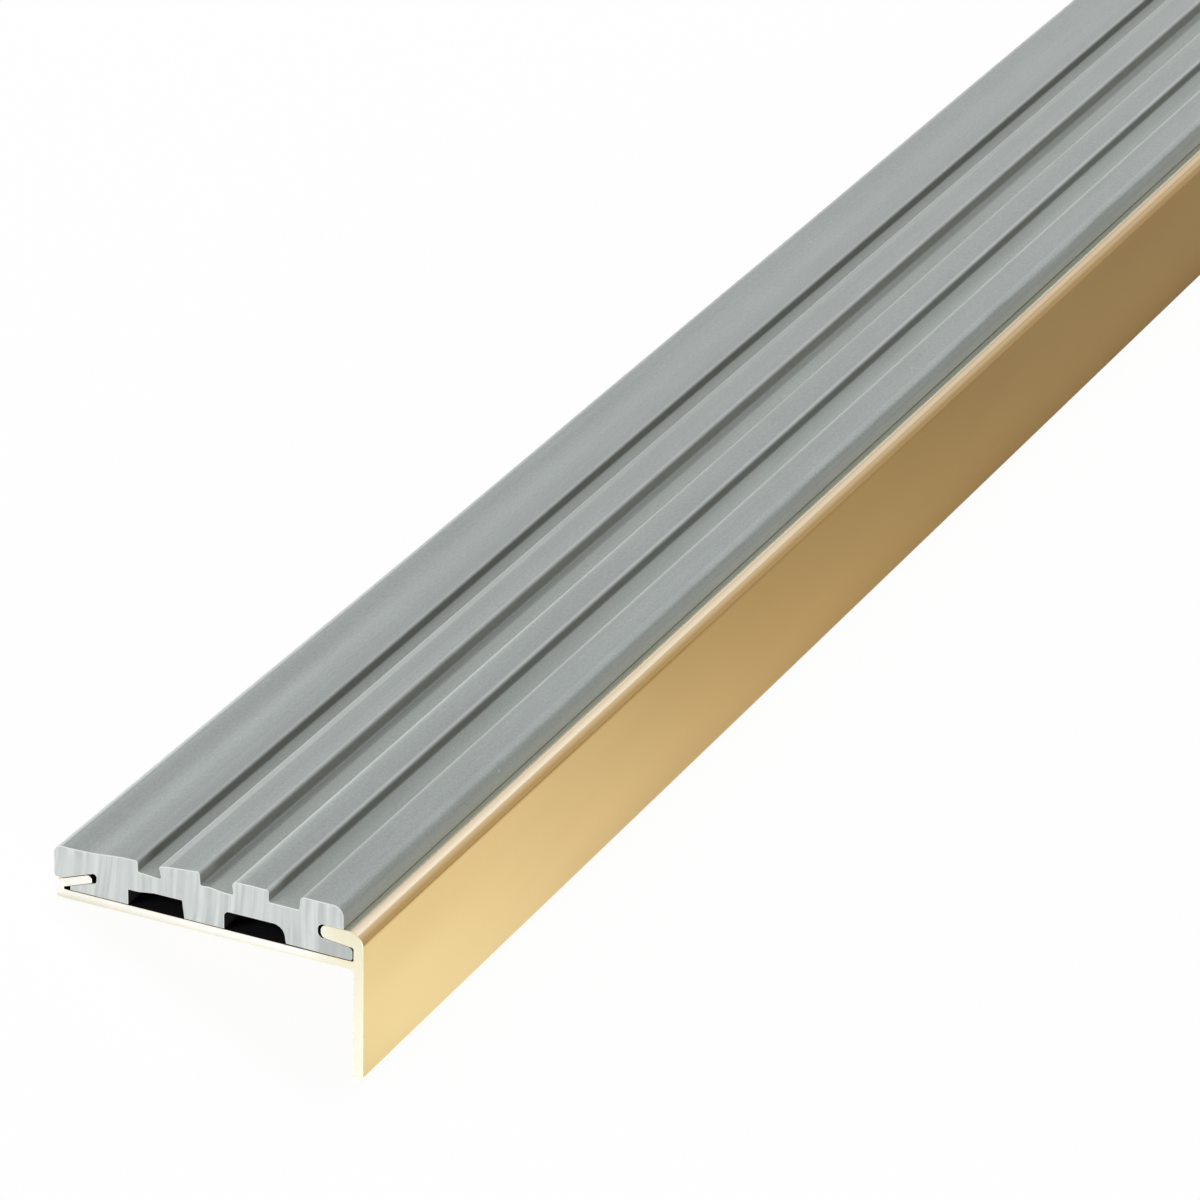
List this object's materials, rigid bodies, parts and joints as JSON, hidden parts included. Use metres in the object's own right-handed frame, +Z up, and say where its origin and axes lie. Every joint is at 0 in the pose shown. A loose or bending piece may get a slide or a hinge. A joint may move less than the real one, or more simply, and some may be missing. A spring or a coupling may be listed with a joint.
{
  "type": "stair nosing",
  "caption": "L-shaped aluminium stair nosing with a rounded edge and a ribbed grey vinyl tread insert snapped into its plate.",
  "frame": {"origin": "on the floor under the middle of the bounding box, as the loose piece comes to rest", "axes": "+X along the length; -Y the way the leg's outer face looks; +Z up. The installed piece is turned 20.19 degrees about X from this pose: the plate's rear edge comes up."},
  "size_m": [0.9, 0.0558, 0.0248],
  "materials": {
    "gold_anodised_aluminium": "satin gold anodised, bare at the cut ends",
    "grey_vinyl": "matte flexible vinyl with fine drawing lines"
  },
  "bodies": {
    "root": {"nosing_extrusion": "gold_anodised_aluminium", "tread_insert": "grey_vinyl"}
  },
  "joints": []
}
